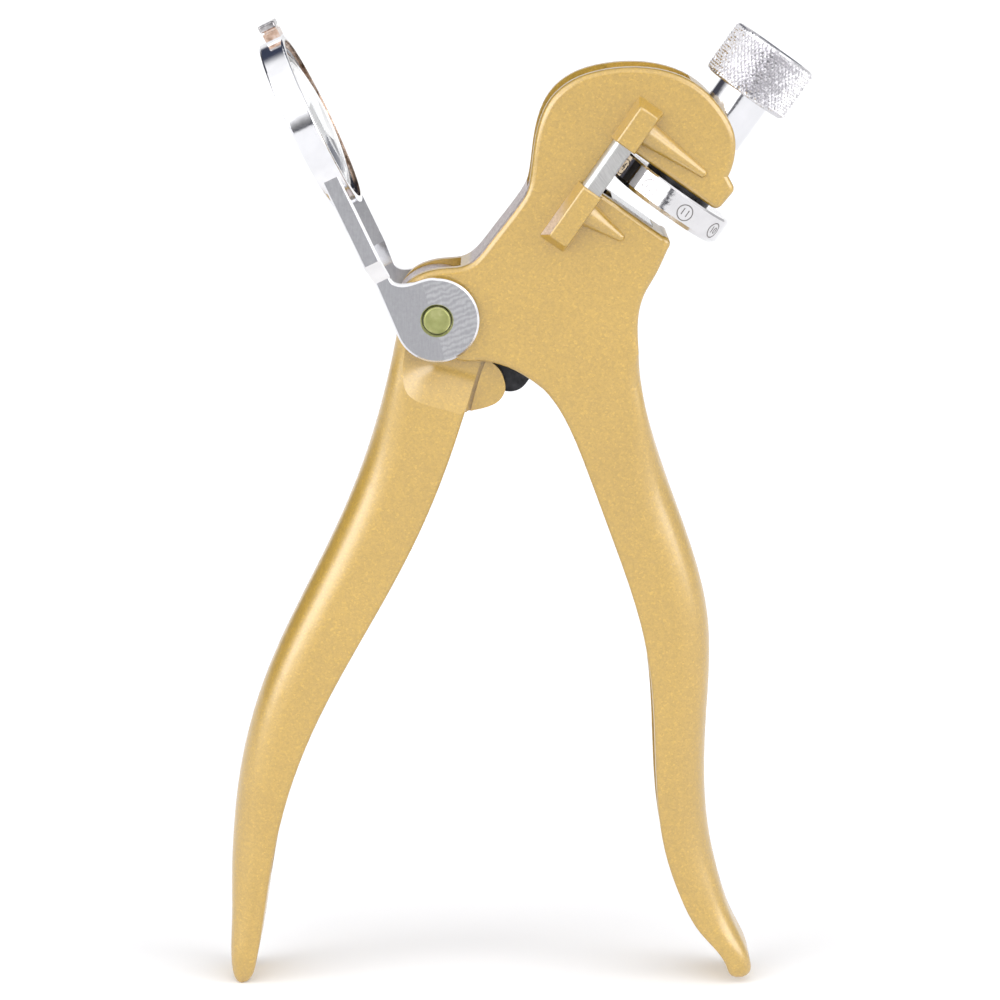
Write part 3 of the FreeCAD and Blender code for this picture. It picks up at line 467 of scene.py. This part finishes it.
m_black, nt, b = new_mat("blackened_steel")
pos = coords(nt)
n1 = noise(nt, pos, 800.0, 3.0, 0.6)
nt.links.new(ramp(nt, n1, [(0.3, (0.016, 0.016, 0.018, 1)), (0.75, (0.05, 0.05, 0.055, 1))]), b.inputs["Base Color"])
b.inputs["Metallic"].default_value = 0.7
nt.links.new(mathn(nt, "MULTIPLY_ADD", n1, 0.2, 0.32), b.inputs["Roughness"])
nt.links.new(bump(nt, n1, 0.2, 0.00005), b.inputs["Normal"])

m_pin, nt, b = new_mat("yellow_zinc")
pos = coords(nt)
n1 = noise(nt, pos, 420.0, 3.0, 0.6)
n2 = noise(nt, pos, 2600.0, 2.0, 0.6)
nt.links.new(ramp(nt, n1, [(0.30, (0.26, 0.28, 0.10, 1)), (0.55, (0.36, 0.37, 0.15, 1)), (0.8, (0.54, 0.53, 0.28, 1))]),
             b.inputs["Base Color"])
b.inputs["Metallic"].default_value = 0.9
nt.links.new(mathn(nt, "MULTIPLY_ADD", n2, 0.2, 0.26), b.inputs["Roughness"])
nt.links.new(bump(nt, mathn(nt, "ADD", n1, mathn(nt, "MULTIPLY", n2, 0.3)), 0.3, 0.0001), b.inputs["Normal"])

m_zinc, nt, b = new_mat("zinc_washer")
pos = coords(nt)
n1 = noise(nt, pos, 1300.0, 3.0, 0.6)
nt.links.new(ramp(nt, n1, [(0.3, (0.42, 0.42, 0.43, 1)), (0.7, (0.60, 0.60, 0.60, 1))]), b.inputs["Base Color"])
b.inputs["Metallic"].default_value = 1.0
nt.links.new(mathn(nt, "MULTIPLY_ADD", n1, 0.2, 0.3), b.inputs["Roughness"])
nt.links.new(bump(nt, n1, 0.15, 0.00005), b.inputs["Normal"])

m_glass, nt, b = new_mat("lens_glass")
pos = coords(nt)
n1 = noise(nt, pos, 600.0, 2.0, 0.5)
nt.links.new(ramp(nt, n1, [(0.3, (0.97, 0.985, 0.98, 1)), (0.7, (0.99, 0.995, 0.99, 1))]), b.inputs["Base Color"])
b.inputs["Transmission Weight"].default_value = 1.0
b.inputs["IOR"].default_value = 1.5
nt.links.new(mathn(nt, "MULTIPLY_ADD", n1, 0.02, 0.0), b.inputs["Roughness"])

for name, mat in {
    "body_casting": m_gold, "lever_handle": m_gold_lever, "pivot_pin": m_pin, "hub_washers": m_zinc,
    "ear_washers": m_zinc, "setting_punch": m_black, "clamp_plunger": m_plunger, "return_spring": m_spring,
    "punch_spring": m_spring, "spring_seat": m_bar, "stop_bar_front": m_bar, "stop_bar_back": m_bar,
    "anvil_disc": m_chrome_disc, "anvil_stud": m_chrome, "anvil_washer": m_black, "knob_sleeve": m_chrome,
    "clamp_knob": m_knurl, "loupe_frame": m_frame, "loupe_lens": m_glass, "lens_keeper_ring": m_chrome,
}.items():
    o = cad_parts[name]
    o.data.materials.clear()
    o.data.materials.append(mat)

# ------------------------------------------------------------------ knurled knob
def knurled_knob():
    """Diamond knurl between two chamfers, a turned top and the blind bore for the stud."""
    rnd = random.Random(41)
    n, rows = 116, 18
    r_peak, r_root, r_end = 0.00828, 0.00786, 0.00782
    u0, u1 = 0.06308, 0.07292
    k0, k1 = 0.06340, 0.07262
    m = axis_matrix(22.05, 0.0)
    bm = bmesh.new()

    def vert(r, a, u):
        return bm.verts.new(m @ Vector((r * math.cos(a), r * math.sin(a), u)))

    def ring(r, u):
        return [vert(r, 2 * math.pi * i / n, u) for i in range(n)]

    def bridge(lo, hi):
        for i in range(n):
            j = (i + 1) % n
            bm.faces.new((lo[i], lo[j], hi[j], hi[i]))

    bore = 0.00305
    bottom = bm.verts.new(m @ Vector((0.0, 0.0, 0.0704)))
    inner_top = ring(bore, 0.0704)
    for i in range(n):
        bm.faces.new((bottom, inner_top[(i + 1) % n], inner_top[i]))
    bore_low = ring(bore, u0)
    bridge(inner_top, bore_low)
    face = ring(r_end - 0.0005, u0)
    bridge(bore_low, face)
    edge = ring(r_end - 0.0001, u0 + 0.00012)
    bridge(face, edge)
    grid = []
    for j in range(rows + 1):
        u = k0 + (k1 - k0) * j / rows
        row = []
        for i in range(n):
            peak = (i + j) % 2 == 1
            r = (r_peak if peak else r_root) - rnd.random() * (0.00012 if peak else 0.00005)
            if j in (0, rows):
                r = min(r, r_root + 0.00004)
            a = 2 * math.pi * i / n + (rnd.random() - 0.5) * 2.2 / n
            row.append(vert(r, a, u + (rnd.random() - 0.5) * 0.00016))
        grid.append(row)
    bridge(edge, grid[0])
    for j in range(rows):
        for i in range(n):
            k = (i + 1) % n
            a, b, c, d = grid[j][i], grid[j][k], grid[j + 1][k], grid[j + 1][i]
            if (i + j) % 2 == 1:
                bm.faces.new((a, b, d))
                bm.faces.new((b, c, d))
            else:
                bm.faces.new((a, b, c))
                bm.faces.new((a, c, d))
    top_edge = ring(r_end - 0.0001, u1 - 0.00012)
    bridge(grid[-1], top_edge)
    top = ring(r_end - 0.0005, u1)
    bridge(top_edge, top)
    lip = ring(0.0064, u1)
    bridge(top, lip)
    dish = ring(0.0061, u1 - 0.00018)
    bridge(lip, dish)
    mid = ring(0.0012, u1 - 0.00022)
    bridge(dish, mid)
    centre = bm.verts.new(m @ Vector((0.0, 0.0, u1 - 0.0005)))
    for i in range(n):
        bm.faces.new((centre, mid[i], mid[(i + 1) % n]))
    o = obj_from_bm(bm, "knurled_knob", m_knurl, angle=9.0)
    return o


# ------------------------------------------------------------------ springs
def coil(name, r_mean, wire, u0, u1, turns, mat):
    """Compression spring with closed ends, wound about the plunger axis."""
    steps, sides = 26, 8
    total = int(turns * steps)
    rw = wire / 2.0
    dead = 0.8                       # closed part of each end, in turns
    lo, hi = u0 + rw + 0.00001, u1 - rw - 0.00001
    pitch_dead = wire * 1.02
    live = (hi - lo - 2 * dead * pitch_dead) / (turns - 2 * dead)
    m = axis_matrix(17.70, 0.0)
    bm = bmesh.new()
    rings = []
    for k in range(total + 1):
        t = k / steps
        if t < dead:
            u = lo + pitch_dead * t
        elif t < turns - dead:
            u = lo + pitch_dead * dead + live * (t - dead)
        else:
            u = hi - pitch_dead * (turns - t)
        a = 2 * math.pi * t
        radial = Vector((math.cos(a), math.sin(a), 0.0))
        row = []
        for q in range(sides):
            b = 2 * math.pi * q / sides
            p = radial * (r_mean + rw * math.cos(b)) + Vector((0.0, 0.0, u + rw * math.sin(b)))
            row.append(bm.verts.new(m @ p))
        rings.append(row)
    for a, b in zip(rings, rings[1:]):
        for q in range(sides):
            w = (q + 1) % sides
            bm.faces.new((a[q], a[w], b[w], b[q]))
    bm.faces.new(list(reversed(rings[0])))
    bm.faces.new(rings[-1])
    return obj_from_bm(bm, name, mat, angle=60.0)


# ------------------------------------------------------------------ dial numerals round the anvil
def wrap_on_rim(bm, theta, u_mid, r_low, height):
    """Turn flat shapes (x across, z = 0 or 1 through) into thin plates on the anvil's rim."""
    m = axis_matrix(22.05, 0.0)
    for v in bm.verts:
        a = theta + v.co.x / 0.0112
        r = r_low + height * v.co.z
        v.co = m @ Vector((r * math.cos(a), r * math.sin(a), u_mid + v.co.y))


def numeral(text, theta, u_mid, size):
    cu = bpy.data.curves.new("numeral", "FONT")
    cu.body = text
    cu.size = size
    cu.align_x, cu.align_y = "CENTER", "CENTER"
    cu.resolution_u = 3
    o = bpy.data.objects.new("numeral", cu)
    bpy.context.scene.collection.objects.link(o)
    bpy.context.view_layer.update()
    flat = bpy.data.meshes.new_from_object(o.evaluated_get(bpy.context.evaluated_depsgraph_get()))
    bpy.data.objects.remove(o)
    bpy.data.curves.remove(cu)
    bm = bmesh.new()
    bm.from_mesh(flat)
    bpy.data.meshes.remove(flat)
    bmesh.ops.remove_doubles(bm, verts=bm.verts, dist=1e-7)
    geo = bmesh.ops.extrude_face_region(bm, geom=list(bm.faces))
    for v in geo["geom"]:
        if isinstance(v, bmesh.types.BMVert):
            v.co.z = 1.0
    wrap_on_rim(bm, theta, u_mid, 0.01115, 0.00007)
    return bm


def stamp_ring(theta, u_mid, r0, r1, n=40):
    bm = bmesh.new()
    rows = []
    for r, z in ((r0, 0.0), (r1, 0.0), (r1, 1.0), (r0, 1.0)):
        rows.append([bm.verts.new((r * math.cos(2 * math.pi * i / n), r * math.sin(2 * math.pi * i / n), z))
                     for i in range(n)])
    for k in range(4):
        a, b = rows[k], rows[(k + 1) % 4]
        for i in range(n):
            j = (i + 1) % n
            bm.faces.new((a[i], a[j], b[j], b[i]))
    wrap_on_rim(bm, theta, u_mid, 0.01115, 0.00007)
    return bm


def join_bms(parts, name, mat, angle=40.0):
    out = bmesh.new()
    for part in parts:
        me = bpy.data.meshes.new("tmp")
        part.to_mesh(me)
        part.free()
        out.from_mesh(me)
        bpy.data.meshes.remove(me)
    return obj_from_bm(out, name, mat, angle=angle)


m_mark, nt, b = new_mat("dial_marks")
pos = coords(nt)
n1 = noise(nt, pos, 1800.0, 2.0, 0.6)
nt.links.new(ramp(nt, n1, [(0.3, (0.16, 0.15, 0.15, 1)), (0.7, (0.26, 0.25, 0.24, 1))]), b.inputs["Base Color"])
b.inputs["Metallic"].default_value = 1.0
nt.links.new(mathn(nt, "MULTIPLY_ADD", n1, 0.2, 0.28), b.inputs["Roughness"])
nt.links.new(bump(nt, n1, 0.2, 0.00004), b.inputs["Normal"])

knob = knurled_knob()
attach(knob, "knob")
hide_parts("clamp_knob")

spring = coil("return_spring_coil", 0.00385, 0.0008, 0.01255, 0.02275, 5.0, m_spring)
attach(spring, "body")
top = axis_matrix(17.70, 0.0) @ Vector((0.0, 0.0, 0.02275))
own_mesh(spring)
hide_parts("return_spring")
spring = coil("punch_spring_coil", 0.00235, 0.0006, 0.01255, 0.02555, 9.0, m_spring)
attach(spring, "punch")
foot = axis_matrix(17.70, 0.0) @ Vector((0.0, 0.0, 0.01255))
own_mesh(spring)
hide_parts("punch_spring")

marks = []
for k in range(9):
    th = math.radians(243.0 + 40.0 * k)
    marks.append(numeral(str(12 - k), th, 0.04075, 0.0019 if 12 - k > 9 else 0.0023))
    marks.append(stamp_ring(th, 0.04075, 0.00132, 0.00152))
dial = join_bms(marks, "dial_numerals", m_mark)
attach(dial, "anvil")
